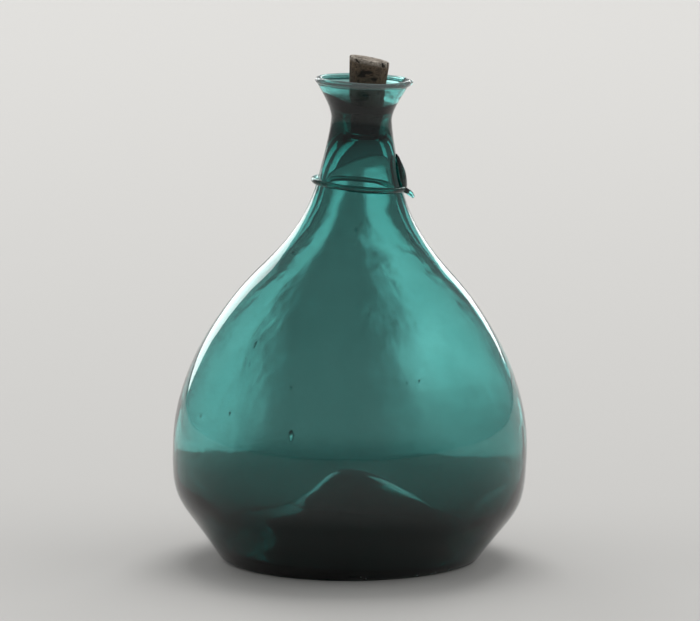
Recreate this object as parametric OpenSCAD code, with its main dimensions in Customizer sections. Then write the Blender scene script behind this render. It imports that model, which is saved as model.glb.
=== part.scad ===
// Free-blown teardrop bottle of thick teal glass, with a kicked-up base, a glass thread laid
// round the neck, a wrapped lip and a tapered cork. Millimetres, +Z up, and the shelf is z = 0.
// The bottle leans towards +X about the middle of its belly, which stays over the origin.

/* [Bulb] */
// Height of the widest place above the shelf
belly_h = 63.3; // [56:0.1:74]
// Outer diameter at the widest place
belly_d = 197.2; // [180:0.1:216]
// Outer diameter where the heel starts, just above the rounded foot
heel_d = 142.8; // [132:0.1:152]
// Slope of the heel where it starts, in degrees from the shelf
heel_slope = 55; // [45:1:64]
// Radius of the rounded foot that the bottle stands on
foot_round = 6; // [5:0.1:8]

/* [Shoulder] */
// Height from the widest place to the middle of the shoulder
shoulder_rise = 99.1; // [90:0.1:110]
// Outer diameter in the middle of the shoulder
shoulder_d = 104.6; // [92:0.1:116]
// Slope of the glass in the middle of the shoulder, in degrees from the shelf
shoulder_slope = 45.6; // [40:0.1:52]

/* [Neck] */
// Height from the middle of the shoulder to the foot of the neck
neck_foot_rise = 45.5; // [40:0.1:54]
// Outer diameter at the foot of the neck
neck_foot_d = 48.6; // [44:0.1:56]
// Taper of the neck at its foot, in degrees from upright
neck_taper = 13.7; // [8:0.1:18]
// Height from the foot of the neck to the throat
neck_h = 37.9; // [34:0.1:60]
// Outer diameter of the throat, the narrowest place of the neck
throat_d = 34; // [31:0.1:40]

/* [Mouth] */
// Height from the throat to the outer edge of the funnel
funnel_h = 19; // [16:0.1:26]
// Outer diameter at the edge of the funnel
funnel_d = 51; // [46:0.1:60]
// Slope of the funnel at its edge, in degrees from the shelf
funnel_slope = 60; // [50:1:70]
// Thickness of the glass at the edge of the funnel
rim_wall = 2.8; // [2:0.1:4]
// Height of the mouth's lowest point above the throat
mouth_floor_rise = 3.4; // [2:0.1:6]
// Thickness of the round thread that is wrapped on the edge of the lip
wrap_d = 3.5; // [2.8:0.1:5]

/* [Wall] */
// Thickness of the glass at the widest place
belly_wall = 3; // [2:0.1:5]
// Thickness of the glass in the middle of the shoulder
shoulder_wall = 3.4; // [2:0.1:5]
// Thickness of the glass at the foot of the neck
neck_wall = 4.6; // [3:0.1:7]
// Thickness of the glass under the channel round the kick
foot_wall = 8.5; // [6:0.1:11]
// Radius of the channel's rounded bottom
channel_round = 8; // [6:0.1:9]
// Distance from the throat down to the top of the hollow
hollow_drop = 7; // [5:0.1:12]

/* [Kick] */
// Height of the pushed-up base inside the bottle, seen from below
kick_h = 45; // [30:0.5:55]
// Diameter of the kick's opening at the shelf
kick_d = 116; // [100:0.5:124]
// Slope of the kick where it opens, in degrees from the shelf
kick_slope = 40; // [36:1:46]
// Thickness of the glass at the top of the kick
kick_wall = 4; // [3:0.1:6]
// Diameter of the ring of glass that the pontil rod left under the kick
scar_d = 15; // [10:0.5:22]
// Thickness of that ring
scar_thick = 3.6; // [2.6:0.1:5]
// How far the ring's middle lies below the top of the kick
scar_hang = 1.5; // [1.2:0.1:2]

/* [Neck thread] */
// Thickness of the glass thread round the foot of the neck
thread_d = 3.4; // [2.4:0.1:5]
// Height of the thread's middle above the foot of the neck
thread_rise = 1.6; // [0:0.1:5]
// Distance from the glass to the middle of the thread
thread_standoff = 1.1; // [0.6:0.1:1.6]
// Tilt of the thread against the bottle's axis, lower at the right
thread_tilt = 3.5; // [0:0.1:6]
// Radius of the gob with which the thread starts
gob_r = 7.5; // [6:0.1:9]
// How far the gob stands proud of the neck
gob_proud = 2.8; // [1.5:0.1:4]
// Height of the gob's middle above the thread's middle
gob_rise = 3.8; // [2:0.1:5]
// Length of the smear that the gob leaves up the neck, above its middle
smear_len = 7; // [4:0.1:9]
// Radius of the smear
smear_r = 5.5; // [4.5:0.1:7]
// How far the cut-off tail reaches out past the thread
tail_reach = 5.2; // [2:0.1:8]
// How far the tail droops below the thread
tail_drop = 4.6; // [2:0.1:6]
// Radius of the tail's end
tail_end_r = 0.8; // [0.5:0.1:1.2]

/* [Cork] */
// Length of the cork along its middle
cork_len = 41.5; // [34:0.1:50]
// Diameter of the cork's lower end
cork_low_d = 16.4; // [14:0.1:19]
// Taper of the cork's side, in degrees from its axis
cork_taper = 4.2; // [2:0.1:5]
// How far the cork's lower end lies below the throat
cork_depth = 8.2; // [7:0.1:12]
// Lean of the cork against the bottle's axis
cork_lean = 2.5; // [0:0.1:4]
// Sideways place of the bore from the bottle's axis, at the throat
bore_shift = 1.8; // [0:0.1:2.5]
// Slope of the obliquely cut top, in degrees from square
cork_cut = 6.5; // [0:0.5:10]
// Width of the worn edge round both ends of the cork
cork_edge = 1; // [0.5:0.1:2]
// Gap between the cork and the bore all round
cork_fit = 0.05; // [0.02:0.01:0.1]

/* [Stance] */
// Lean of the whole bottle towards +X
lean = 2; // [0:0.1:3]

/* [Hidden] */
$fn = 96;

// Steps along one stretch of a curved outline
steps = 12;
// A piece that is cut away runs this far past the glass
past = 10;

// Heights on the bottle's own axis
shoulder_z = belly_h + shoulder_rise;
neck_foot_z = shoulder_z + neck_foot_rise;
throat_z = neck_foot_z + neck_h;
edge_z = throat_z + funnel_h;
thread_z = neck_foot_z + thread_rise;

// The middle and the lowest point of the rounded foot, which the heel leaves at its own slope
foot_r = heel_d / 2 - foot_round * sin(heel_slope);
foot_mid_z = foot_round * cos(heel_slope);
foot_low = foot_round - foot_mid_z;

// The thread's middle line lies this far from the bottle's axis
neck_at_thread = neck_foot_d / 2 - thread_rise * tan(neck_taper);
thread_r = neck_at_thread + thread_standoff;

// The lip's inner edge lies square to the funnel's slope from its outer edge
rim_in_r = funnel_d / 2 - rim_wall * sin(funnel_slope);
rim_in_z = edge_z + rim_wall * cos(funnel_slope);
// The wrap's section sits on the edge, between the lip's two corners
wrap_r = (funnel_d / 2 + rim_in_r) / 2 + wrap_d / 8;
wrap_z = (edge_z + rim_in_z) / 2 + wrap_d / 4;

function cork_r(along) = cork_low_d / 2 + along * tan(cork_taper);

function heading(angle) = [cos(angle), sin(angle)];

// A cubic curve from a to b. It leaves a towards angle_a and arrives at b heading angle_b; hold_a and
// hold_b say how long each end keeps its heading, as shares of the distance. It leaves out a itself.
function curve(a, angle_a, hold_a, b, angle_b, hold_b) =
    let (chord = norm(b - a),
         c = a + hold_a * chord * heading(angle_a),
         d = b - hold_b * chord * heading(angle_b))
    [for (i = [1:steps])
        let (t = i / steps, u = 1 - t)
        u * u * u * a + 3 * u * u * t * c + 3 * u * t * t * d + t * t * t * b];

function arc(middle, radius, from, to) =
    [for (i = [0:steps])
        middle + radius * heading(from + (to - from) * i / steps)];

// The outside of the glass, from the middle of the foot up to the funnel's edge
function outside() = concat(
    arc([foot_r, foot_mid_z], foot_round, -90, heel_slope - 90),
    curve([heel_d / 2, 0], heel_slope, 0.60, [belly_d / 2, belly_h], 90, 0.52),
    curve([belly_d / 2, belly_h], 90, 0.33, [shoulder_d / 2, shoulder_z], 180 - shoulder_slope, 0.34),
    curve([shoulder_d / 2, shoulder_z], 180 - shoulder_slope, 0.31,
          [neck_foot_d / 2, neck_foot_z], 90 + neck_taper, 0.35),
    curve([neck_foot_d / 2, neck_foot_z], 90 + neck_taper, 0.20, [throat_d / 2, throat_z], 90, 0.19),
    curve([throat_d / 2, throat_z], 90, 0.26, [funnel_d / 2, edge_z], funnel_slope, 0.31));

// The hollow, from the top of the kick round the channel and up to its own top under the throat
function hollow() =
    let (kick_top = [0, kick_h + kick_wall],
         channel_mid = [foot_r + foot_round - channel_round, foot_wall - foot_low + channel_round],
         channel_low = channel_mid - [0, channel_round],
         channel_end = channel_mid + channel_round * heading(heel_slope - 90),
         belly_in = [belly_d / 2 - belly_wall, belly_h],
         shoulder_in = [shoulder_d / 2 - shoulder_wall * sin(shoulder_slope),
                        shoulder_z - shoulder_wall * cos(shoulder_slope)],
         neck_in = [neck_foot_d / 2 - neck_wall, neck_foot_z])
    concat(
        [kick_top],
        curve(kick_top, 0, 0.36, channel_low, 0, 0.20),
        arc(channel_mid, channel_round, -90, heel_slope - 90),
        curve(channel_end, heel_slope, 0.58, belly_in, 90, 0.52),
        curve(belly_in, 90, 0.33, shoulder_in, 180 - shoulder_slope, 0.34),
        curve(shoulder_in, 180 - shoulder_slope, 0.31, neck_in, 90 + neck_taper, 0.35),
        curve(neck_in, 90 + neck_taper, 0.45, [0, throat_z - hollow_drop], 180, 0.40));

// The bowl of the mouth, from its floor up past the lip's inner edge
function mouth_bowl() =
    let (floor_point = [0, throat_z + mouth_floor_rise],
         rim = [rim_in_r, rim_in_z])
    concat([floor_point], curve(floor_point, 0, 0.50, rim, funnel_slope, 0.36));

// The underside of the kick, from its top out to its opening, and on below the shelf
function kick_under() =
    let (kick_top = [0, kick_h],
         opening = [kick_d / 2, 0])
    concat([kick_top], curve(kick_top, 0, 0.36, opening, -kick_slope, 0.25));

module turned(points) {
    rotate_extrude() polygon(points);
}

module leaning() {
    translate([0, 0, belly_h]) rotate([0, lean, 0]) translate([0, 0, -belly_h]) children();
}

// Everything on the cork's axis is drawn upwards from the cork's lower end
module on_cork_axis() {
    translate([bore_shift, 0, throat_z]) rotate([0, cork_lean, 0]) translate([0, 0, -cork_depth]) children();
}

// The outside filled in, with the slanting end of the lip on top
module outer_form() {
    turned(concat([[0, -foot_low]], outside(), [[rim_in_r, rim_in_z], [0, rim_in_z]]));
}

module kick_cut() {
    opening_r = kick_d / 2 + past / tan(kick_slope);
    turned(concat(kick_under(), [[opening_r, -past], [0, -past]]));
}

module glass() {
    difference() {
        outer_form();
        turned(hollow());
        turned(concat(mouth_bowl(), [[rim_in_r, rim_in_z + past], [0, rim_in_z + past]]));
        kick_cut();
    }
}

module below_shelf() {
    translate([-belly_d, -belly_d, -belly_d]) cube([2 * belly_d, 2 * belly_d, belly_d]);
}

// Blown bulb, neck, funnel and kicked-up base, in one gather of glass
module body() {
    color("teal") difference() {
        leaning() difference() {
            glass();
            on_cork_axis() cylinder(
                h = cork_len, r1 = cork_r(0) + cork_fit, r2 = cork_r(cork_len) + cork_fit);
        }
        below_shelf();
    }
}

// Round thread of glass wrapped on the edge of the lip
module lip_wrap() {
    color("cadetblue") leaning() difference() {
        rotate_extrude() translate([wrap_r, wrap_z]) circle(d = wrap_d);
        glass();
    }
}

// Thread laid once round the foot of the neck, from its gob to its cut-off tail
module neck_thread() {
    gob_x = neck_at_thread + gob_proud - gob_r;
    tail_root_r = 0.4 * thread_d;
    tail_cone_end_r = 0.9 * tail_end_r;
    tail_len = norm([tail_reach, tail_drop]);
    tail_pitch = 90 + atan2(tail_drop, tail_reach);
    color("darkcyan") leaning() difference() {
        translate([0, 0, thread_z]) {
            rotate([0, thread_tilt, 0]) {
                rotate_extrude() translate([thread_r, 0]) circle(d = thread_d);
                translate([thread_r, 0, 0]) rotate([0, tail_pitch, 0])
                    cylinder(h = tail_len, r1 = tail_root_r, r2 = tail_cone_end_r);
                translate([thread_r + tail_reach, 0, -tail_drop]) sphere(r = tail_end_r);
            }
            translate([gob_x, 0, gob_rise]) sphere(r = gob_r);
            translate([gob_x, 0, gob_rise + smear_len]) sphere(r = smear_r);
        }
        outer_form();
    }
}

// Broken ring of glass that the pontil rod left at the top of the kick
module pontil_scar() {
    color("darkslategray") leaning() difference() {
        translate([0, 0, kick_h - scar_hang])
            rotate_extrude() translate([scar_d / 2, 0]) circle(d = scar_thick);
        glass();
    }
}

// Tapered cork with an obliquely cut top and worn 45 degree edges, pushed into the throat
module cork() {
    stock_len = cork_len + past;
    low_r = cork_r(0) - cork_edge;
    top_r = cork_r(cork_len) - cork_edge;
    color("dimgray") leaning() on_cork_axis() intersection() {
        cylinder(h = stock_len, r1 = cork_r(0), r2 = cork_r(stock_len));
        cylinder(h = stock_len, r1 = low_r, r2 = low_r + stock_len);
        translate([0, 0, cork_len]) rotate([0, cork_cut, 0]) translate([0, 0, -stock_len])
            cylinder(h = stock_len, r1 = top_r + stock_len, r2 = top_r);
    }
}

body();
lip_wrap();
neck_thread();
pontil_scar();
cork();
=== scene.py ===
import math

import bmesh
import bpy
import numpy as np
from mathutils import Matrix, Vector, noise


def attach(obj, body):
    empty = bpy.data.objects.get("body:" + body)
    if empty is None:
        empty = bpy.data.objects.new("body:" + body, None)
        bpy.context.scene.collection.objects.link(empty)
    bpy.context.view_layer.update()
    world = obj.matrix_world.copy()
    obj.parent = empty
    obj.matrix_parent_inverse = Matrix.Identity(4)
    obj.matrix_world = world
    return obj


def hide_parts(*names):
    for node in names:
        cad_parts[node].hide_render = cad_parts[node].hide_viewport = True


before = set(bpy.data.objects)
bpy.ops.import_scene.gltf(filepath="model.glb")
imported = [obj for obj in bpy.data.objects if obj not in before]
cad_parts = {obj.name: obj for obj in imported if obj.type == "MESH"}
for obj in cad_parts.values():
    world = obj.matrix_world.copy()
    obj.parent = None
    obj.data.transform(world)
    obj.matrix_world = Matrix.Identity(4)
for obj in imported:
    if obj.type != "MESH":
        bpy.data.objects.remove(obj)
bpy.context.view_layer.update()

# ---- The view ----
# From the front and a little above, and from so far off that the bottle's sides stay nearly parallel.

view_rise = math.radians(8.8)
view_distance = 3.5
view_aim = Vector((0.0, 0.0, 0.1385))
view_lens = 325.0

camera = bpy.data.objects.new("camera", bpy.data.cameras.new("camera"))
bpy.context.scene.collection.objects.link(camera)
camera.data.lens = view_lens
camera.data.clip_end = 60.0
camera.location = view_aim + view_distance * Vector((0.0, -math.cos(view_rise), math.sin(view_rise)))
camera.rotation_euler = (view_aim - camera.location).to_track_quat("-Z", "Y").to_euler()
bpy.context.scene.camera = camera

# ---- Bottle glass ----
# One gather of deep teal glass, blown free into a bulb with a long shoulder, pushed up at the base and
# flared at the mouth. Its section is drawn once, then turned with the sag and wander of hand work.

belly_h, belly_d = 0.0633, 0.1972
heel_d, heel_slope, foot_round = 0.1428, 55, 0.006
shoulder_h, shoulder_d, shoulder_slope = 0.1624, 0.1046, 45.6
neck_foot_h, neck_foot_d, neck_taper = 0.2079, 0.0486, 13.7
throat_h, throat_d = 0.2458, 0.034
edge_h, funnel_d, funnel_slope = 0.2648, 0.051, 60
rim_wall, belly_wall, shoulder_wall, neck_wall = 0.0028, 0.003, 0.0034, 0.0046
foot_wall, channel_round = 0.0085, 0.008
kick_h, kick_d, kick_slope, kick_wall = 0.045, 0.116, 40, 0.004
mouth_floor_h = throat_h + 0.0034
bore_high, bore_low = 0.0105, -0.0004
bore_lip, bore_lip_from, bore_lip_to = 0.0012, 204, 268
bore_ledge, bore_foot_slope = 0.0012, 40
cork_low_h, cork_low_r, cork_taper, cork_fit = throat_h - 0.0082, 0.0082, 4.2, 0.00005
bore_shift, cork_lean = 0.0018, 2.5
lean = 2.0
rim_start = 20


def heading(angle):
    return np.array([math.cos(math.radians(angle)), math.sin(math.radians(angle))])


def curve(a, angle_a, hold_a, b, angle_b, hold_b, steps):
    """Points of a cubic that leaves a towards angle_a and reaches b heading angle_b, without a itself."""
    a, b = np.array(a, float), np.array(b, float)
    chord = np.linalg.norm(b - a)
    c, d = a + hold_a * chord * heading(angle_a), b - hold_b * chord * heading(angle_b)
    points = []
    for t in np.linspace(0, 1, steps + 1)[1:]:
        u = 1 - t
        points.append(u**3 * a + 3 * u * u * t * c + 3 * u * t * t * d + t**3 * b)
    return points


def arc(middle, radius, start, end, steps):
    return [np.array(middle) + radius * heading(angle) for angle in np.linspace(start, end, steps + 1)]


def under_kick():
    """The underside of the kick, from its top out to the worn foot."""
    foot_low = foot_round * (1 - math.cos(math.radians(heel_slope)))
    spread = foot_low / math.tan(math.radians(kick_slope))
    top, opening = [0, kick_h], [kick_d / 2, 0]
    return [np.array(top), *curve(top, 0, 0.36, opening, -kick_slope, 0.25, 46),
            np.array([kick_d / 2 + spread, -foot_low])]


foot_mid = [heel_d / 2 - foot_round * math.sin(math.radians(heel_slope)),
            foot_round * math.cos(math.radians(heel_slope))]


def outside():
    """The outside of the glass, from the middle of the foot up to the edge of the funnel."""
    heel, belly = [heel_d / 2, 0], [belly_d / 2, belly_h]
    shoulder, neck_foot = [shoulder_d / 2, shoulder_h], [neck_foot_d / 2, neck_foot_h]
    throat, edge = [throat_d / 2, throat_h], [funnel_d / 2, edge_h]
    return [*arc(foot_mid, foot_round, -90, heel_slope - 90, 8),
            *curve(heel, heel_slope, 0.60, belly, 90, 0.52, 34),
            *curve(belly, 90, 0.33, shoulder, 180 - shoulder_slope, 0.34, 44),
            *curve(shoulder, 180 - shoulder_slope, 0.31, neck_foot, 90 + neck_taper, 0.35, 24),
            *curve(neck_foot, 90 + neck_taper, 0.20, throat, 90, 0.19, 22),
            *curve(throat, 90, 0.26, edge, funnel_slope, 0.31, 16)]


def rim():
    """The rounded end of the funnel, over to its inner side."""
    middle = np.array([funnel_d / 2, edge_h]) + rim_wall / 2 * heading(funnel_slope + 90)
    return arc(middle, rim_wall / 2, funnel_slope - 90 + rim_start, funnel_slope + 90, 8)


def mouth_and_bore():
    """From the rim down the bowl of the mouth, over a soft edge and down the reamed bore round the cork."""
    rim_in = np.array([funnel_d / 2, edge_h]) + rim_wall * heading(funnel_slope + 90)
    floor = np.array([0, mouth_floor_h])
    bowl = [floor, *curve(floor, 0, 0.50, rim_in, funnel_slope, 0.36, 30)]
    bore_r = cork_low_r + cork_fit
    bore = [np.array([bore_r + along * math.tan(math.radians(cork_taper)), cork_low_h + along])
            for along in np.linspace(bore_high, bore_low, 9)]
    kept = [p for p in reversed(bowl) if p[0] > bore[0][0] + bore_lip]
    return [*kept[1:], *curve(kept[-1], bore_lip_from, 0.4, bore[0], bore_lip_to, 0.5, 5), *bore[1:]]


def hollow():
    """The inside of the glass, from the top of the kick round the channel and up to the bore's foot."""
    kick_top = [0, kick_h + kick_wall]
    foot_low = foot_round - foot_mid[1]
    channel_mid = np.array([foot_mid[0] + foot_round - channel_round, foot_wall - foot_low + channel_round])
    channel_low = channel_mid - [0, channel_round]
    channel_end = channel_mid + channel_round * heading(heel_slope - 90)
    belly_in = [belly_d / 2 - belly_wall, belly_h]
    shoulder_in = (np.array([shoulder_d / 2, shoulder_h])
                   + shoulder_wall * heading(-90 - shoulder_slope))
    neck_in = [neck_foot_d / 2 - neck_wall, neck_foot_h]
    bore_foot = [cork_low_r + bore_ledge, cork_low_h - bore_ledge]
    return [np.array(kick_top),
            *curve(kick_top, 0, 0.36, channel_low, 0, 0.20, 46),
            *arc(channel_mid, channel_round, -90, heel_slope - 90, 8)[1:],
            *curve(channel_end, heel_slope, 0.58, belly_in, 90, 0.52, 34),
            *curve(belly_in, 90, 0.33, shoulder_in, 180 - shoulder_slope, 0.34, 44),
            *curve(shoulder_in, 180 - shoulder_slope, 0.31, neck_in, 90 + neck_taper, 0.35, 24),
            *curve(neck_in, 90 + neck_taper, 0.45, bore_foot, 90 + bore_foot_slope, 0.25, 26)]


def rise(value, low, high):
    """0 below low, 1 above high, and smooth between them."""
    share = np.clip((value - low) / (high - low), 0, 1)
    return share * share * (3 - 2 * share)


outer_part = [*under_kick(), *outside(), *rim()]
mouth_part = mouth_and_bore()
inner_part = hollow()[::-1]
section = np.array([*outer_part, *mouth_part, *inner_part])
section_count = len(section)

tangent = np.gradient(section, axis=0)
tangent /= np.linalg.norm(tangent, axis=1)[:, None]
inside = np.arange(section_count) >= len(outer_part)
# The bore is true between these heights, and fades into the free-blown wall below and above
true_from, true_low, true_high, true_to = 0.2120, 0.2360, 0.2505, 0.2620
bored = inside * rise(section[:, 1], true_from, true_low) * (1 - rise(section[:, 1], true_high, true_to))
# The kick's flanks were pushed aside most at these distances from its middle, and not at its top or edge
flank_full, flank_fading, flank_edge = 0.036, 0.034, 0.066
from_middle = np.abs(section[:, 0])
pushed = (rise(from_middle, 0, flank_full) * (1 - rise(from_middle, flank_fading, flank_edge))
          * (section[:, 1] < kick_h + 2 * kick_wall))


def line_mesh(name, points, **attributes):
    """A mesh of one line through the points, with a value or a vector of each attribute at each point."""
    mesh = bpy.data.meshes.new(name)
    mesh.from_pydata([tuple(p) for p in points], [(i, i + 1) for i in range(len(points) - 1)], [])
    for label, values in attributes.items():
        values = np.asarray(values, np.float32)
        kind, field = ("FLOAT_VECTOR", "vector") if values.ndim == 2 else ("FLOAT", "value")
        mesh.attributes.new(label, kind, "POINT").data.foreach_set(field, values.ravel())
    return mesh


def place(tree, kind, inputs=None, **settings):
    """A node in tree. Inputs go by name or number, and each is wired to a socket or set to a value."""
    node = tree.nodes.new(kind)
    for label, value in settings.items():
        setattr(node, label, value)
    for label, value in (inputs or {}).items():
        if isinstance(value, bpy.types.NodeSocket):
            tree.links.new(value, node.inputs[label])
        else:
            node.inputs[label].default_value = value
    return node


def calc(tree, operation, *values):
    return place(tree, "ShaderNodeMath", dict(enumerate(values)), operation=operation).outputs[0]


def stretch(tree, vector, share):
    return place(tree, "ShaderNodeVectorMath", {0: vector, "Scale": share}, operation="SCALE").outputs[0]


def together(tree, first, second):
    return place(tree, "ShaderNodeVectorMath", {0: first, 1: second}, operation="ADD").outputs[0]


def marbling(tree, vector, scale, detail=1.0):
    """Soft noise from -0.5 to 0.5."""
    fog = place(tree, "ShaderNodeTexNoise", {"Vector": vector, "Scale": scale, "Detail": detail})
    return calc(tree, "SUBTRACT", fog.outputs[0], 0.5)


def new_form(name, *inputs):
    """A geometry tree with named inputs, each (name, kind, value), and the outputs of its input node."""
    tree = bpy.data.node_groups.new(name, "GeometryNodeTree")
    tree.interface.new_socket("Geometry", in_out="INPUT", socket_type="NodeSocketGeometry")
    for label, kind, value in inputs:
        socket = tree.interface.new_socket(label, in_out="INPUT", socket_type="NodeSocket" + kind)
        socket.default_value = value
    tree.interface.new_socket("Material", in_out="INPUT", socket_type="NodeSocketMaterial")
    tree.interface.new_socket("Geometry", in_out="OUTPUT", socket_type="NodeSocketGeometry")
    return tree, tree.nodes.new("NodeGroupInput").outputs


def end_form(tree, geometry, material):
    """Ends a tree: real meshes, smooth faces and their material."""
    real = place(tree, "GeometryNodeRealizeInstances", {"Geometry": geometry}).outputs[0]
    smooth = place(tree, "GeometryNodeSetShadeSmooth", {"Geometry": real}).outputs[0]
    dressed = place(tree, "GeometryNodeSetMaterial", {"Geometry": smooth, "Material": material}).outputs[0]
    place(tree, "NodeGroupOutput", {"Geometry": dressed})


def form(name, base, tree, settings):
    """Runs a tree on the mesh base with these settings, and returns the result as a plain mesh object."""
    source = bpy.data.objects.new(name + "_source", base)
    bpy.context.scene.collection.objects.link(source)
    modifier = source.modifiers.new("form", "NODES")
    modifier.node_group = tree
    for item in tree.interface.items_tree:
        if item.in_out == "INPUT" and item.name in settings:
            modifier[item.identifier] = settings[item.name]
    shaped = source.evaluated_get(bpy.context.evaluated_depsgraph_get())
    mesh = bpy.data.meshes.new_from_object(shaped)
    # A tree may leave an empty slot in front of the material, and that slot goes
    if len(mesh.materials) > 1 and mesh.materials[0] is None:
        mesh.materials.pop(index=0)
    piece = bpy.data.objects.new(name, mesh)
    source.modifiers.remove(modifier)
    bpy.data.objects.remove(source)
    bpy.context.scene.collection.objects.link(piece)
    return piece


def new_effect(name, inputs, outputs):
    """A shader group with float inputs, each (name, value), and outputs, each (name, kind)."""
    tree = bpy.data.node_groups.new(name, "ShaderNodeTree")
    for label, value in inputs:
        socket = tree.interface.new_socket(label, in_out="INPUT", socket_type="NodeSocketFloat")
        socket.default_value = value
    for label, kind in outputs:
        tree.interface.new_socket(label, in_out="OUTPUT", socket_type="NodeSocket" + kind)
    return tree, tree.nodes.new("NodeGroupInput").outputs


def effect(tree, group, settings):
    """Places a shader group in a material with its own values, and returns its outputs."""
    node = tree.nodes.new("ShaderNodeGroup")
    node.node_tree = group
    for label, value in settings.items():
        node.inputs[label].default_value = value
    return node.outputs


def on_object(tree, stretch_by=(1, 1, 1)):
    """Object coordinates, squeezed along each axis."""
    place_in = place(tree, "ShaderNodeTexCoord").outputs["Object"]
    return place(tree, "ShaderNodeMapping", {"Vector": place_in, "Scale": stretch_by}).outputs[0]


# The skin of blown glass: slow waves and finer ripples drawn out upwards.
skin_effect, skin_in = new_effect(
    "blown_skin", [("Waves", 30.0), ("Ripples", 150.0), ("Ripple share", 0.3)], [("Height", "Float")])
slow = marbling(skin_effect, on_object(skin_effect, (1, 1, 0.6)), skin_in["Waves"], 0.0)
fine = marbling(skin_effect, on_object(skin_effect, (1, 1, 0.35)), skin_in["Ripples"], 1.0)
skin_height = calc(skin_effect, "ADD", slow, calc(skin_effect, "MULTIPLY", fine, skin_in["Ripple share"]))
place(skin_effect, "NodeGroupOutput", {"Height": skin_height})

# Wear from standing and handling: full below a height and fading above it, broken up by scratches.
wear_effect, wear_in = new_effect(
    "shelf_wear", [("Full below", 0.001), ("None above", 0.008), ("Scale", 260.0)], [("Mask", "Float")])
wear_height = place(wear_effect, "ShaderNodeSeparateXYZ", {0: on_object(wear_effect)}).outputs[2]
low_share = place(wear_effect, "ShaderNodeMapRange", {
    "Value": wear_height, "From Min": wear_in["Full below"], "From Max": wear_in["None above"],
    "To Min": 1.0, "To Max": 0.0}, interpolation_type="SMOOTHSTEP").outputs[0]
scratches = place(wear_effect, "ShaderNodeTexNoise", {
    "Vector": on_object(wear_effect, (1, 0.3, 1)), "Scale": wear_in["Scale"], "Detail": 4.0}).outputs[0]
broken = place(wear_effect, "ShaderNodeMapRange", {
    "Value": scratches, "From Min": 0.36, "From Max": 0.74}).outputs[0]
place(wear_effect, "NodeGroupOutput", {"Mask": calc(wear_effect, "MULTIPLY", low_share, broken)})


# Painted shade: below the upper height the glass's colour is mixed towards this dark tint, most at the lower
# height and under.
painted_heel_shade = (0.065, 0.29, 0.28)
painted_shade_top_h, painted_shade_full_h, painted_shade_share = 0.058, 0.033, 0.88


def glass(name, clear, smoky, absorbs, roughness, worn_roughness, bump, waves, ripples, clarity=1.0):
    """Coloured glass that darkens with thickness, with painted shade at the heel and a rippled, worn face.

    Streaks run between its clear and its smoky tint, and a clarity under 1 leaves it a little cloudy."""
    material = bpy.data.materials.new(name)
    material.use_nodes = True
    tree = material.node_tree
    shader = tree.nodes["Principled BSDF"]
    shader.inputs["IOR"].default_value = 1.5
    shader.inputs["Transmission Weight"].default_value = clarity
    streaks = place(tree, "ShaderNodeTexNoise", {
        "Vector": on_object(tree, (1, 1, 0.3)), "Scale": 45.0, "Detail": 2.0, "Distortion": 0.6}).outputs[0]
    streaks = place(tree, "ShaderNodeMapRange", {
        "Value": streaks, "From Min": 0.35, "From Max": 0.7}).outputs[0]
    tint = place(tree, "ShaderNodeMix", {0: streaks, 6: (*clear, 1), 7: (*smoky, 1)}, data_type="RGBA")
    # Painted shade: the colour darkens towards the heel, below a given height.
    up = place(tree, "ShaderNodeSeparateXYZ", {0: on_object(tree)}).outputs[2]
    painted_shade_mask = place(tree, "ShaderNodeMapRange", {
        "Value": up, "From Min": painted_shade_top_h, "From Max": painted_shade_full_h, "To Max": painted_shade_share},
        interpolation_type="SMOOTHSTEP").outputs[0]
    tint = place(tree, "ShaderNodeMix", {
        0: painted_shade_mask, 6: tint.outputs[2], 7: (*painted_heel_shade, 1)}, data_type="RGBA")
    tree.links.new(tint.outputs[2], shader.inputs["Base Color"])
    worn = effect(tree, wear_effect, {})["Mask"]
    rough = place(tree, "ShaderNodeMapRange", {
        "Value": worn, "To Min": roughness, "To Max": worn_roughness}).outputs[0]
    tree.links.new(rough, shader.inputs["Roughness"])
    height = effect(tree, skin_effect, {"Waves": waves, "Ripples": ripples})["Height"]
    ripple = place(tree, "ShaderNodeBump", {"Strength": 1.0, "Distance": bump, "Height": height})
    tree.links.new(ripple.outputs[0], shader.inputs["Normal"])
    depth = tree.nodes.new("ShaderNodeVolumeAbsorption")
    depth.inputs["Density"].default_value = max(absorbs)
    depth.inputs["Color"].default_value = (*[1 - share / max(absorbs) for share in absorbs], 1)
    tree.links.new(depth.outputs[0], tree.nodes["Material Output"].inputs["Volume"])
    return material


teal_glass = glass(
    "deep_teal_glass", clear=(0.525, 0.68, 0.67), smoky=(0.47, 0.635, 0.625), absorbs=(280, 140, 147),
    roughness=0.015, worn_roughness=0.32, bump=0.00022, waves=28.0, ripples=120.0)

blown, blown_in = new_form(
    "turned_by_hand", ("Segments", "Int", 160), ("Oval", "Float", 0.004), ("Dents", "Float", 0.0006),
    ("Wall wander", "Float", 0.00045), ("Cords", "Float", 0.00012), ("Bore shift", "Float", bore_shift),
    ("Bore lean", "Float", math.radians(cork_lean)), ("Throat", "Float", throat_h),
    ("Kick push", "Float", 0.009), ("Kick wobble", "Float", 0.005), ("Lean", "Float", math.radians(lean)),
    ("Pivot", "Float", belly_h), ("Seed", "Float", 3.0))
ring_count = place(blown, "GeometryNodeAttributeDomainSize", {0: blown_in["Geometry"]}).outputs[0]
around = place(blown, "FunctionNodeIntegerMath", {
    0: blown_in["Segments"], 1: 1}, operation="ADD").outputs[0]
sheet = place(blown, "GeometryNodeMeshGrid", {"Vertices X": ring_count, "Vertices Y": around}).outputs[0]
spot = place(blown, "GeometryNodeInputIndex").outputs[0]
ring = place(blown, "FunctionNodeIntegerMath", {0: spot, 1: around}, operation="DIVIDE_FLOOR").outputs[0]
step = place(blown, "FunctionNodeIntegerMath", {0: spot, 1: around}, operation="MODULO").outputs[0]
turn = calc(blown, "MULTIPLY", calc(blown, "DIVIDE", step, blown_in["Segments"]), -2 * math.pi)


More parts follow.
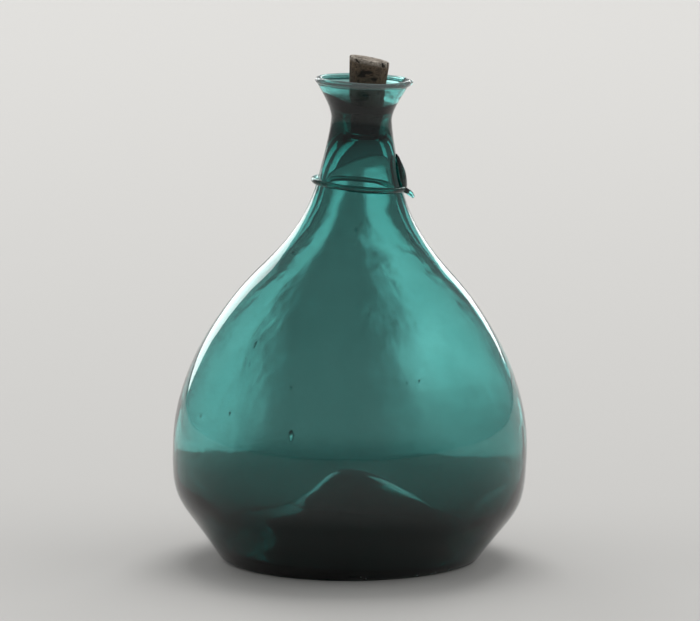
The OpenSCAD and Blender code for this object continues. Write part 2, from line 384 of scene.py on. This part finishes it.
def of_section(label, kind):
    """An attribute of the section, or its place, read at each ring."""
    if label == "position":
        value = place(blown, "GeometryNodeInputPosition").outputs[0]
    else:
        value = place(blown, "GeometryNodeInputNamedAttribute", {"Name": label}, data_type=kind).outputs[0]
    reader = place(blown, "GeometryNodeSampleIndex", data_type=kind)
    blown.links.new(blown_in["Geometry"], reader.inputs["Geometry"])
    blown.links.new(value, reader.inputs["Value"])
    blown.links.new(ring, reader.inputs["Index"])
    return reader.outputs[0]


def swung(vector):
    """A point or direction of the section, turned about the bottle's axis to its own segment."""
    return place(blown, "ShaderNodeVectorRotate", {"Vector": vector, "Angle": turn},
                 rotation_type="Z_AXIS").outputs[0]


plain = swung(of_section("position", "FLOAT_VECTOR"))
facing = swung(of_section("facing", "FLOAT_VECTOR"))
inner = of_section("inner", "FLOAT")
seeded = together(blown, plain, place(
    blown, "ShaderNodeCombineXYZ", {0: blown_in["Seed"], 1: blown_in["Seed"]}).outputs[0])
height = place(blown, "ShaderNodeSeparateXYZ", {0: plain}).outputs[2]

# The whole wall is a little oval, and the oval turns as it climbs
oval_phase = calc(blown, "ADD", calc(blown, "MULTIPLY", turn, 2.0), calc(blown, "MULTIPLY", height, 14.0))
oval = calc(blown, "MULTIPLY", calc(blown, "SUBTRACT", calc(blown, "COSINE", oval_phase), 1.0),
            calc(blown, "MULTIPLY", blown_in["Oval"], 0.5))
flat = place(blown, "ShaderNodeVectorMath", {0: plain, 1: (1, 1, 0)}, operation="MULTIPLY").outputs[0]
# Dents shift the outer face. The inner face wanders, and carries cords drawn round as the blowpipe turned
dents = calc(blown, "MULTIPLY", calc(blown, "SUBTRACT", marbling(blown, seeded, 16.0), 0.28),
             blown_in["Dents"])
wander = calc(blown, "MULTIPLY", marbling(blown, seeded, 34.0), blown_in["Wall wander"])
drawn = place(blown, "ShaderNodeVectorMath", {
    0: seeded, 1: (0.5, 0.5, 3.0)}, operation="MULTIPLY").outputs[0]
cords = calc(blown, "MULTIPLY", marbling(blown, drawn, 70.0, 2.0), blown_in["Cords"])
inner_shift = calc(blown, "MULTIPLY", calc(blown, "ADD", wander, cords), inner)
shift = calc(blown, "ADD", calc(blown, "MULTIPLY", dents, calc(blown, "SUBTRACT", 1.0, inner)), inner_shift)
# Near the cork the bore is reamed true
shift = calc(blown, "MULTIPLY", shift, calc(blown, "SUBTRACT", 1.0, of_section("bored", "FLOAT")))
worked = together(blown, together(blown, plain, stretch(blown, flat, oval)), stretch(blown, facing, shift))

# The bore sits aside and leans as the cork does. The kick's flanks are pushed aside, and roll a little
above_throat = calc(blown, "SUBTRACT", height, blown_in["Throat"])
bore_place = calc(blown, "MULTIPLY", of_section("bored", "FLOAT"), calc(
    blown, "ADD", blown_in["Bore shift"], calc(blown, "MULTIPLY", above_throat, blown_in["Bore lean"])))
kick_share = of_section("pushed", "FLOAT")
kick_place = calc(blown, "MULTIPLY", kick_share, blown_in["Kick push"])
kick_lift = calc(blown, "MULTIPLY", kick_share, calc(
    blown, "MULTIPLY", marbling(blown, seeded, 38.0), blown_in["Kick wobble"]))
sideways = place(blown, "ShaderNodeCombineXYZ", {
    0: calc(blown, "ADD", bore_place, kick_place), 2: kick_lift}).outputs[0]
pivot = place(blown, "ShaderNodeCombineXYZ", {2: blown_in["Pivot"]}).outputs[0]
leaning = place(blown, "ShaderNodeVectorRotate", {
    "Vector": together(blown, worked, sideways), "Center": pivot, "Angle": blown_in["Lean"]},
    rotation_type="Y_AXIS").outputs[0]
# The foot is worn flat on the shelf
x, y, z = place(blown, "ShaderNodeSeparateXYZ", {0: leaning}).outputs
grounded = place(blown, "ShaderNodeCombineXYZ", {0: x, 1: y, 2: calc(blown, "MAXIMUM", z, 0.0)}).outputs[0]
turned = place(blown, "GeometryNodeSetPosition", {"Geometry": sheet, "Position": grounded}).outputs[0]
joined = place(blown, "GeometryNodeMergeByDistance", {"Geometry": turned, "Distance": 0.00001}).outputs[0]
end_form(blown, joined, blown_in["Material"])

section_mesh = line_mesh(
    "bottle_section", np.c_[section[:, 0], np.zeros(section_count), section[:, 1]],
    facing=np.c_[tangent[:, 1], np.zeros(section_count), -tangent[:, 0]],
    inner=inside, bored=bored, pushed=pushed)
bottle = form("bottle_glass", section_mesh, blown, {"Segments": 168, "Material": teal_glass})
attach(bottle, "bottle")
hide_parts("body")

# ---- Seeds in the glass ----
# Small bubbles of air caught in the melt. They lie inside the wall, drawn out along it by the blowing. The
# bed that they lie in follows the outside from above the foot to below the funnel's edge.

seed_depth = 0.0014
seed_bed_first, seed_bed_last = 14, -8
seed_bed_points = np.array(outside())[seed_bed_first:seed_bed_last]
seed_bed_slope = np.gradient(seed_bed_points, axis=0)
seed_bed_slope /= np.linalg.norm(seed_bed_slope, axis=1)[:, None]
seed_bed_facing = np.c_[seed_bed_slope[:, 1], -seed_bed_slope[:, 0]]
seed_bed_points = seed_bed_points - seed_depth * seed_bed_facing
nothing = np.zeros(len(seed_bed_points))
seed_line = line_mesh(
    "seed_bed", np.c_[seed_bed_points[:, 0], nothing, seed_bed_points[:, 1]],
    facing=np.c_[seed_bed_facing[:, 0], nothing, seed_bed_facing[:, 1]],
    inner=nothing, bored=nothing, pushed=nothing)
seed_bed = form("seed_bed", seed_line, blown, {"Segments": 72})

seed_glass = bpy.data.materials.new("air_seed")
seed_glass.use_nodes = True
seed_tree = seed_glass.node_tree
seed_shader = seed_tree.nodes["Principled BSDF"]
seed_shader.inputs["IOR"].default_value = 1.5
seed_shader.inputs["Transmission Weight"].default_value = 1.0
seed_shader.inputs["Roughness"].default_value = 0.04
seed_cloud = marbling(seed_tree, on_object(seed_tree), 900.0)
seed_tint = place(seed_tree, "ShaderNodeMix", {0: seed_cloud, 6: (0.80, 0.95, 0.93, 1), 7: (1, 1, 1, 1)},
                  data_type="RGBA")
seed_tree.links.new(seed_tint.outputs[2], seed_shader.inputs["Base Color"])

scattered, scattered_in = new_form(
    "seeds_in_glass", ("Density", "Float", 1100.0), ("Seed", "Int", 11), ("Smallest", "Float", 0.00014),
    ("Largest", "Float", 0.00075), ("Least stretch", "Float", 1.1), ("Most stretch", "Float", 2.6))
scatter = place(scattered, "GeometryNodeDistributePointsOnFaces", {
    "Mesh": scattered_in["Geometry"], "Density": scattered_in["Density"], "Seed": scattered_in["Seed"]})
wall_normal = scatter.outputs["Normal"]
wall_steepness = place(scattered, "ShaderNodeSeparateXYZ", {0: wall_normal}).outputs[2]
up_the_wall = together(scattered, place(scattered, "ShaderNodeCombineXYZ", {2: 1.0}).outputs[0],
                       stretch(scattered, wall_normal, calc(scattered, "MULTIPLY", wall_steepness, -1.0)))
aligned = place(scattered, "FunctionNodeAlignRotationToVector", {
    "Vector": up_the_wall}, axis="Z").outputs[0]
chance = place(scattered, "FunctionNodeRandomValue", {
    2: 0.0, 3: 1.0, "Seed": scattered_in["Seed"]}).outputs[1]
size_share = calc(scattered, "POWER", chance, 3.0)
seed_size = place(scattered, "ShaderNodeMapRange", {
    "Value": size_share, "To Min": scattered_in["Smallest"], "To Max": scattered_in["Largest"]}).outputs[0]
seed_stretch = place(scattered, "FunctionNodeRandomValue", {
    2: scattered_in["Least stretch"], 3: scattered_in["Most stretch"], "Seed": 5}).outputs[1]
seed_scale = place(scattered, "ShaderNodeCombineXYZ", {
    0: seed_size, 1: seed_size, 2: calc(scattered, "MULTIPLY", seed_size, seed_stretch)}).outputs[0]
ball = place(scattered, "GeometryNodeMeshUVSphere", {"Segments": 8, "Rings": 6, "Radius": 1.0}).outputs[0]
placed = place(scattered, "GeometryNodeInstanceOnPoints", {
    "Points": scatter.outputs["Points"], "Instance": ball, "Rotation": aligned,
    "Scale": seed_scale}).outputs[0]
end_form(scattered, placed, scattered_in["Material"])

seeds = form("seeds", seed_bed.data, scattered, {"Material": seed_glass})

# One large seed, flattened and drawn out tall in the front of the belly
large_seed_x, large_seed_h = -0.0350, 0.0835
large_seed_width, large_seed_depth, large_seed_height = 0.0028, 0.0016, 0.0064
large_seed_at = min(
    (vertex.co.copy() for vertex in seed_bed.data.vertices if vertex.co.y < 0),
    key=lambda spot: (spot.x - large_seed_x)**2 + (spot.z - large_seed_h)**2)
bpy.data.objects.remove(seed_bed)
seed_mesh = bmesh.new()
seed_mesh.from_mesh(seeds.data)
bmesh.ops.create_uvsphere(seed_mesh, u_segments=16, v_segments=10, radius=1, matrix=(
    Matrix.Translation(large_seed_at)
    @ Matrix.Diagonal((large_seed_width / 2, large_seed_depth / 2, large_seed_height / 2, 1))))
seed_mesh.to_mesh(seeds.data)
seed_mesh.free()
seeds.data.shade_smooth()
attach(seeds, "bottle")

# ---- Lip wrap ----
# A round thread of the same glass, wrapped once on the funnel's edge while the bottle turned on the rod.
# It is melted to the edge, a little uneven, and its end is drawn out to a point over its start.

wrap_r = 0.024725
wrap_h = 0.266375
wrap_girth = 0.00185
wrap_nib = 0.0024
wrap_start, wrap_end = 9, 366
wrap_wave, wrap_climb = 0.0003, 0.0005
wrap_swell, wrap_thin_start, wrap_end_loss = 0.10, 0.45, 0.62


def leaned(points):
    """Points on the bottle's own axis, moved to where the leaning bottle has them."""
    turning = Matrix.Rotation(math.radians(lean), 4, "Y")
    pivot_point = Vector((0, 0, belly_h))
    return [turning @ (Vector(point) - pivot_point) + pivot_point for point in points]


laid, laid_in = new_form(
    "laid_thread", ("Step", "Float", 0.0009), ("Sides", "Int", 18), ("Unevenness", "Float", 0.0002),
    ("Waves", "Float", 140.0))
trail = place(laid, "GeometryNodeMeshToCurve", {"Mesh": laid_in["Geometry"]}).outputs[0]
trail = place(laid, "GeometryNodeResampleCurve", {
    "Curve": trail, "Length": laid_in["Step"]}, mode="LENGTH").outputs[0]
girth = place(laid, "GeometryNodeInputNamedAttribute", {"Name": "girth"}, data_type="FLOAT").outputs[0]
round_section = place(laid, "GeometryNodeCurvePrimitiveCircle", {
    "Resolution": laid_in["Sides"], "Radius": 1.0}).outputs[0]
tube = place(laid, "GeometryNodeCurveToMesh", {
    "Curve": trail, "Profile Curve": round_section, "Scale": girth, "Fill Caps": True}).outputs[0]
tube_spot = place(laid, "GeometryNodeInputPosition").outputs[0]
tube_wave = calc(laid, "MULTIPLY", marbling(laid, tube_spot, laid_in["Waves"], 2.0), laid_in["Unevenness"])
tube_facing = place(laid, "GeometryNodeInputNormal").outputs[0]
tube = place(laid, "GeometryNodeSetPosition", {
    "Geometry": tube, "Offset": stretch(laid, tube_facing, tube_wave)}).outputs[0]
end_form(laid, tube, laid_in["Material"])


def coil(radius, height, start, end, count):
    """Points round the bottle's axis, from azimuth start to end in degrees, where 0 is at the right."""
    return [np.array([radius * math.cos(angle), radius * math.sin(angle), height])
            for angle in np.radians(np.linspace(start, end, count))]


def melted(piece, grain, softness):
    """Makes the parts of a piece that run into each other one skin, as melted glass does."""
    skin = piece.modifiers.new("skin", "REMESH")
    skin.mode, skin.voxel_size, skin.use_smooth_shade = "VOXEL", grain, True
    soften = piece.modifiers.new("soften", "SMOOTH")
    soften.factor, soften.iterations = 0.5, softness
    shaped = piece.evaluated_get(bpy.context.evaluated_depsgraph_get())
    material, name = piece.data.materials[0], piece.name
    mesh = bpy.data.meshes.new_from_object(shaped)
    mesh.materials.clear()
    mesh.materials.append(material)
    mesh.shade_smooth()
    bpy.data.objects.remove(piece)
    joined_piece = bpy.data.objects.new(name, mesh)
    bpy.context.scene.collection.objects.link(joined_piece)
    return joined_piece


lip_glass = glass(
    "lip_glass", clear=(0.93, 0.99, 0.985), smoky=(0.88, 0.97, 0.96), absorbs=(300, 90, 100),
    roughness=0.10, worn_roughness=0.3, bump=0.0002, waves=90.0, ripples=400.0, clarity=0.88)

wrap_turns = coil(wrap_r, wrap_h, wrap_start, wrap_end, 150)
wrap_share = np.linspace(0, 1, len(wrap_turns))
wrap_rise = wrap_wave * np.sin(wrap_share * 2 * math.pi * 2 + 0.6) + wrap_climb * (wrap_share - 0.5)
wrap_reach = 1 + wrap_nib / wrap_r * rise(wrap_share, 0.965, 1)
wrap_path = [p * (reach, reach, 1) + (0, 0, lift)
             for p, lift, reach in zip(wrap_turns, wrap_rise, wrap_reach)]
# It swells and thins a little on its way round, and both its ends are thin
wrap_girths = wrap_girth * (1 + wrap_swell * np.sin(wrap_share * 2 * math.pi * 3 + 2.0))
wrap_girths *= wrap_thin_start + (1 - wrap_thin_start) * rise(wrap_share, 0, 0.03)
wrap_girths *= 1 - wrap_end_loss * rise(wrap_share, 0.975, 1)
lip_wrap = form("lip_wrap_glass", line_mesh("wrap_path", leaned(wrap_path), girth=wrap_girths), laid,
                {"Material": lip_glass})
lip_wrap = melted(lip_wrap, grain=0.00035, softness=3)
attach(lip_wrap, "bottle")
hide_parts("lip_wrap")

# ---- Neck thread ----
# A thinner thread laid once round the foot of the neck. It starts in a gob that was pressed on and smeared
# up the neck, and its cut-off tail stands out and droops.

thread_above_foot = 0.0016
thread_h = neck_foot_h + thread_above_foot
thread_r = 0.02501
thread_girth = 0.0017
thread_tilt = math.radians(3.5)
thread_start, thread_end = 2, 343
thread_swell, thread_end_loss = 0.07, 0.45
gob_low, gob_high = -0.004, 0.0175
gob_proud, gob_width, gob_sunk = 0.0032, 0.0068, 0.0009
gob_proud_lift, gob_proud_bluntness = 0.84, 0.6
gob_width_lift, gob_width_bluntness = 0.8, 0.45
neck_curve_share = 0.93

thread_turn = coil(thread_r, 0, thread_start, thread_end, 150)
thread_tail = [[0.0256, -0.0060, -0.0004], [0.0268, -0.0042, -0.0011], [0.0282, -0.0022, -0.0023],
               [0.0293, -0.0008, -0.0036], [0.0301, 0.0001, -0.0046]]
thread_path = [*thread_turn, *[np.array(point) for point in thread_tail]]
thread_path = [p + (0, 0, thread_h - p[0] * math.tan(thread_tilt)) for p in thread_path]
thread_share = np.linspace(0, 1, len(thread_path))
thread_girths = thread_girth * (1.0 + thread_swell * np.sin(thread_share * 2 * math.pi * 4))
thread_girths *= 1 - thread_end_loss * rise(thread_share, 0.985, 1)
thread_glass = glass(
    "thread_glass", clear=(0.90, 0.98, 0.97), smoky=(0.84, 0.95, 0.94), absorbs=(600, 240, 255),
    roughness=0.025, worn_roughness=0.3, bump=0.0002, waves=90.0, ripples=400.0)
thread_line = line_mesh("thread_path", leaned(thread_path), girth=thread_girths)
neck_thread = form("neck_thread_glass", thread_line, laid, {"Material": thread_glass})

# The gob is a loft of rings up the neck: each bulges out of the glass and is sunk a little into it
gob_mesh = bmesh.new()
gob_mesh.from_mesh(neck_thread.data)
gob_rings = []
for share in np.linspace(0.01, 0.99, 30):
    gob_rise = gob_low + share * (gob_high - gob_low)
    neck_narrows = (thread_above_foot + gob_rise) * math.tan(math.radians(neck_taper)) * neck_curve_share
    neck_r = neck_foot_d / 2 - neck_narrows
    proud = gob_proud * math.sin(math.pi * share**gob_proud_lift)**gob_proud_bluntness
    width = gob_width * math.sin(math.pi * share**gob_width_lift)**gob_width_bluntness
    around_gob = [(width * math.cos(a) / neck_r, math.sin(a)) for a in np.linspace(0, 2 * math.pi, 40)[:-1]]
    ring_points = [((neck_r + (proud if out > 0 else gob_sunk) * out) * math.cos(swing),
                    (neck_r + (proud if out > 0 else gob_sunk) * out) * math.sin(swing),
                    thread_h + gob_rise) for swing, out in around_gob]
    gob_rings.append([gob_mesh.verts.new(point) for point in leaned(ring_points)])
for low_ring, high_ring in zip(gob_rings, gob_rings[1:]):
    for n in range(len(low_ring)):
        gob_mesh.faces.new((low_ring[n - 1], low_ring[n], high_ring[n], high_ring[n - 1]))
gob_mesh.faces.new(reversed(gob_rings[0]))
gob_mesh.faces.new(gob_rings[-1])
gob_mesh.to_mesh(neck_thread.data)
gob_mesh.free()
neck_thread = melted(neck_thread, grain=0.0003, softness=6)
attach(neck_thread, "bottle")
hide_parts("neck_thread")

# ---- Pontil scar ----
# The ring of glass that the pontil rod left under the kick when it was snapped off. It is left raw and
# unpolished, up where it can't scratch a table.

scar_r = 0.0075
scar_h = kick_h - 0.0015
scar_girth = 0.0018
scar_aside = 0.001
scar_lowest, scar_swell = 0.80, 0.22

scar_path = [p + (scar_aside, 0, 0) for p in coil(scar_r, scar_h, 0, 352, 60)]
scar_share = np.linspace(0, 1, len(scar_path))
scar_girths = scar_girth * (scar_lowest + scar_swell * np.sin(scar_share * 2 * math.pi * 3 + 1.0))
scar_glass = glass(
    "scar_glass", clear=(0.86, 0.95, 0.94), smoky=(0.78, 0.90, 0.89), absorbs=(300, 90, 100),
    roughness=0.22, worn_roughness=0.4, bump=0.0006, waves=300.0, ripples=1100.0)
scar_line = line_mesh("scar_path", leaned(scar_path), girth=scar_girths)
pontil_scar = form("pontil_scar_glass", scar_line, laid, {
    "Step": 0.0005, "Sides": 14, "Unevenness": 0.0016, "Waves": 420.0, "Material": scar_glass})
pontil_scar = melted(pontil_scar, grain=0.0003, softness=1)
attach(pontil_scar, "bottle")
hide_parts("pontil_scar")

# ---- Cork ----
# A hand-cut tapered cork, pushed into the throat and worn. Its top is cut slanting and crumbles at the
# edge, and the dark pores of the bark run across it.

cork_len = 0.0415
cork_cut = math.tan(math.radians(6.5))
cork_edge = 0.001
cork_side_from = 0.0014
cork_around = 200
cork_skin = 0.00002
cut_from, chip_reach = 0.45, 0.0035
side_waver, side_big_pore, side_small_pore, side_chip = 0.00010, 0.00040, 0.00014, 0.0007
top_waver, top_big_pore, top_small_pore, top_chip = 0.00025, 0.0004, 0.00015, 0.0005
waver_scale, crumb_scale, chip_scale, pore_scale = 160, 420, 900, 1000


def cork_side(along):
    return cork_low_r + along * math.tan(math.radians(cork_taper))


cork_bottom = [(radius, 0.0) for radius in np.linspace(0, cork_low_r - cork_edge, 14)]
cork_low_edge = [(cork_side(cork_edge) - cork_edge * (1 - math.sin(a)), cork_edge * (1 - math.cos(a)))
                 for a in np.radians(np.linspace(15, 90, 6))]
cork_flank = [(cork_side(along), along)
              for along in np.linspace(cork_side_from, cork_len - cork_side_from, 110)]
cork_top_edge = [(cork_side(cork_len - cork_edge) - cork_edge * (1 - math.cos(a)),
                  cork_len - cork_edge * (1 - math.sin(a))) for a in np.radians(np.linspace(0, 75, 6))]
cork_top = [(radius, cork_len) for radius in np.linspace(cork_side(cork_len) - 1.1 * cork_edge, 0, 44)]
cork_outline = [*cork_bottom, *cork_low_edge, *cork_flank, *cork_top_edge, *cork_top]


def pores(point, size, amount):
    """How deep a point lies in one of the bark's pores, which are long one way and thin the other: 0 to 1."""
    value = noise.noise(Vector((point.x * size * 0.35, point.y * size, point.z * size)))
    return float(rise(value, 1 - amount, 1.12 - amount))


def cork_point(radius, along, angle):
    """One point of the worn cork on its own axis, with how worn and how deep in a pore it is."""
    spot = Vector((radius * math.cos(angle), radius * math.sin(angle), along))
    top_share = float(rise(along, cork_len * cut_from, cork_len))
    side_share = float(rise(radius, 0.6 * cork_low_r, 0.9 * cork_low_r))
    on_top = 1.0 if along > cork_len - 0.0001 else 0.0
    waver = noise.noise(spot * waver_scale) * 0.5 + 0.5
    crumb = noise.noise(spot * crumb_scale + Vector((3, 1, 7)))
    big_pore = pores(spot * pore_scale, size=0.42, amount=0.74)
    small_pore = pores(spot * pore_scale + Vector((9, 4, 2)), size=1.3, amount=0.70)
    edge_near = float(rise(along, cork_len - chip_reach, cork_len - 0.0003)) * side_share
    chipped = float(rise(crumb + 0.5 * noise.noise(spot * chip_scale), 0.05, 0.5)) * edge_near
    inward = (cork_skin + side_waver * waver + side_big_pore * big_pore + side_small_pore * small_pore
              + side_chip * chipped)
    spot.x -= inward * math.cos(angle) * side_share
    spot.y -= inward * math.sin(angle) * side_share
    sunk = (top_big_pore * big_pore + top_small_pore * small_pore + top_waver * waver
            + top_chip * chipped) * on_top
    spot.z += -sunk - spot.x * cork_cut * top_share
    worn = max(0.75 * on_top, edge_near)
    return spot, worn, max(big_pore, 0.7 * small_pore, 0.3 * chipped)


cork_points, cork_worn, cork_pores = [], [], []
for radius, along in cork_outline:
    for angle in (np.linspace(0, 2 * math.pi, cork_around, endpoint=False) if radius > 0 else [0.0]):
        spot, worn, pore = cork_point(radius, along, angle)
        cork_points.append(spot)
        cork_worn.append(worn)
        cork_pores.append(pore)
cork_faces = []
for n in range(cork_around):
    nxt = (n + 1) % cork_around
    cork_faces.append((0, 1 + nxt, 1 + n))
    for row in range(len(cork_outline) - 3):
        low, high = 1 + row * cork_around, 1 + (row + 1) * cork_around
        cork_faces.append((low + n, low + nxt, high + nxt, high + n))
    last = 1 + (len(cork_outline) - 3) * cork_around
    cork_faces.append((last + n, last + nxt, len(cork_points) - 1))
on_cork_axis = (Matrix.Translation((bore_shift, 0, throat_h))
                @ Matrix.Rotation(math.radians(cork_lean), 4, "Y")
                @ Matrix.Translation((0, 0, cork_low_h - throat_h)))
cork_mesh = bpy.data.meshes.new("old_cork")
cork_mesh.from_pydata(leaned([on_cork_axis @ point for point in cork_points]), [], cork_faces)
for label, values in (("worn", cork_worn), ("pore", cork_pores)):
    cork_mesh.attributes.new(label, "FLOAT", "POINT").data.foreach_set("value", values)
cork_mesh.shade_smooth()
old_cork = bpy.data.objects.new("old_cork", cork_mesh)
bpy.context.scene.collection.objects.link(old_cork)

aged_cork = bpy.data.materials.new("aged_cork")
aged_cork.use_nodes = True
cork_tree = aged_cork.node_tree
cork_shader = cork_tree.nodes["Principled BSDF"]


def blend_of(tree, share, first, second):
    return place(tree, "ShaderNodeMix", {0: share, 6: first, 7: second}, data_type="RGBA").outputs[2]


def bark_pattern(stretch_by, scale, detail, low, high, distortion=0.0):
    """Noise in the bark, stretched from 0 at low to 1 at high."""
    fog = place(cork_tree, "ShaderNodeTexNoise", {
        "Vector": on_object(cork_tree, stretch_by), "Scale": scale, "Detail": detail,
        "Distortion": distortion}).outputs[0]
    return place(cork_tree, "ShaderNodeMapRange", {
        "Value": fog, "From Min": low, "From Max": high}).outputs[0]


grain = bark_pattern((0.6, 1, 1), scale=1300.0, detail=4.0, low=0.32, high=0.66)
growth = bark_pattern((1, 0.35, 0.35), scale=420.0, detail=2.0, low=0.40, high=0.60, distortion=0.4)
stain = bark_pattern((1, 1, 1), scale=110.0, detail=3.0, low=0.38, high=0.64)
bark = blend_of(cork_tree, grain, (0.072, 0.048, 0.030, 1), (0.185, 0.130, 0.085, 1))
bark = blend_of(cork_tree, calc(cork_tree, "MULTIPLY", growth, 0.35), bark, (0.085, 0.052, 0.032, 1))
bark = blend_of(cork_tree, calc(cork_tree, "MULTIPLY", stain, 0.55), bark, (0.048, 0.036, 0.027, 1))
dusty = blend_of(cork_tree, grain, (0.30, 0.255, 0.205, 1), (0.55, 0.50, 0.43, 1))
dusty = blend_of(cork_tree, calc(cork_tree, "MULTIPLY", stain, 0.45), dusty, (0.16, 0.125, 0.095, 1))
worn_share = place(cork_tree, "ShaderNodeAttribute", attribute_name="worn").outputs["Fac"]
bark = blend_of(cork_tree, worn_share, bark, dusty)
pore_share = place(cork_tree, "ShaderNodeAttribute", attribute_name="pore").outputs["Fac"]
bark = blend_of(cork_tree, pore_share, bark, (0.020, 0.014, 0.010, 1))
cork_tree.links.new(bark, cork_shader.inputs["Base Color"])
cork_shader.inputs["Roughness"].default_value = 0.85
cork_bump = place(cork_tree, "ShaderNodeBump", {"Strength": 0.7, "Distance": 0.00015, "Height": grain})
cork_tree.links.new(cork_bump.outputs[0], cork_shader.inputs["Normal"])
cork_mesh.materials.append(aged_cork)
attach(old_cork, "stopper")
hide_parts("cork")

# ---- Stage ----
# A wide pale floor under even studio light. Soft boxes behind, to either side, give the glass its bright
# edges, and two glows on the floor behind, seen only through the glass, light its sides.

floor_size = 30.0
floor_h = -0.00015
floor_material = bpy.data.materials.new("pale_floor")
floor_material.use_nodes = True
floor_tree = floor_material.node_tree
floor_shader = floor_tree.nodes["Principled BSDF"]
floor_shader.inputs["Base Color"].default_value = (0.56, 0.55, 0.53, 1)
floor_shader.inputs["Roughness"].default_value = 0.85
floor_mesh = bpy.data.meshes.new("floor")
floor_mesh.from_pydata(
    [(x * floor_size / 2, y * floor_size / 2, floor_h) for x, y in ((-1, -1), (1, -1), (1, 1), (-1, 1))],
    [], [(0, 1, 2, 3)])
floor_mesh.materials.append(floor_material)
floor = bpy.data.objects.new("floor", floor_mesh)
bpy.context.scene.collection.objects.link(floor)


def soft_box(name, azimuth, rise_angle, distance, size, power, seen_in_glass=True):
    """A rectangular light that faces the bottle, and can be kept out of the glass.

    Azimuth 0 is in front and 90 to the right."""
    light = bpy.data.lights.new(name, "AREA")
    light.shape = "RECTANGLE"
    light.size, light.size_y = size
    light.energy = power
    holder = bpy.data.objects.new(name, light)
    around_angle, up_angle = math.radians(azimuth), math.radians(rise_angle)
    away = Vector((math.sin(around_angle) * math.cos(up_angle),
                   -math.cos(around_angle) * math.cos(up_angle),
                   math.sin(up_angle)))
    holder.location = view_aim + distance * away
    holder.rotation_euler = away.to_track_quat("Z", "Y").to_euler()
    holder.visible_camera = False
    holder.visible_glossy = seen_in_glass
    holder.visible_transmission = seen_in_glass
    bpy.context.scene.collection.objects.link(holder)


soft_box("back_left", azimuth=-157, rise_angle=18, distance=8.0, size=(3.2, 5.0), power=135)
soft_box("back_right", azimuth=160, rise_angle=16, distance=8.0, size=(1.8, 4.4), power=72)
soft_box("side_left", azimuth=-104, rise_angle=26, distance=6.5, size=(9.5, 6.0), power=130,
         seen_in_glass=False)
soft_box("side_right", azimuth=98, rise_angle=26, distance=6.5, size=(11.5, 6.0), power=220,
         seen_in_glass=False)
soft_box("overhead", azimuth=175, rise_angle=62, distance=6.0, size=(3.5, 3.5), power=190,
         seen_in_glass=False)

glow_near, glow_far = 0.267, 2.5
glow_near_fade, glow_far_fade = 0.018, 0.7
glow_rise_start, glow_rise_end = 0.13, 0.55
glow_reach = 0.60
glow_h = 0.0005


def floor_glow(name, side, inner, fade, radiance, near_share):
    """A soft light flat on the floor behind the bottle, from near the middle out to one side: -1 is left.

    It fades in over its inner and near edges and out at its far one. It has near_share of its radiance at
    the front and all of it farther back."""
    light = bpy.data.lights.new(name, "AREA")
    light.shape, light.size, light.size_y = "RECTANGLE", glow_reach - inner, glow_far - glow_near
    light.energy = math.pi * radiance * light.size * light.size_y
    light.use_nodes = True
    tree = light.node_tree
    spot = place(tree, "ShaderNodeNewGeometry").outputs["Position"]
    x, y, _ = place(tree, "ShaderNodeSeparateXYZ", {0: spot}).outputs

    def ramp(value, start, end, least=0.0):
        return place(tree, "ShaderNodeMapRange", {
            "Value": value, "From Min": start, "From Max": end, "To Min": least},
            interpolation_type="SMOOTHSTEP").outputs[0]

    across = ramp(x, side * inner, side * (inner + fade))
    nearer = ramp(y, glow_near, glow_near + glow_near_fade)
    rising = ramp(y, glow_near + glow_rise_start, glow_near + glow_rise_end, near_share)
    farther = ramp(y, glow_far, glow_far - glow_far_fade)
    share = calc(tree, "MULTIPLY", across, rising)
    share = calc(tree, "MULTIPLY", share, calc(tree, "MULTIPLY", nearer, farther))
    tree.links.new(share, tree.nodes["Emission"].inputs["Strength"])
    holder = bpy.data.objects.new(name, light)
    holder.location = (side * (inner + glow_reach) / 2, (glow_near + glow_far) / 2, glow_h)
    holder.rotation_euler = (math.pi, 0, 0)
    holder.visible_camera = False
    holder.visible_glossy = False
    bpy.context.scene.collection.objects.link(holder)


floor_glow("glow_left", side=-1, inner=0.045, fade=0.065, radiance=2.0, near_share=0.85)
floor_glow("glow_right", side=1, inner=0.014, fade=0.060, radiance=2.3, near_share=0.3)

world = bpy.data.worlds.new("studio")
world.use_nodes = True
backdrop = world.node_tree.nodes["Background"]
backdrop.inputs["Color"].default_value = (0.80, 0.81, 0.82, 1)
backdrop.inputs["Strength"].default_value = 0.40
bpy.context.scene.world = world
bpy.context.scene.view_settings.view_transform = "Standard"
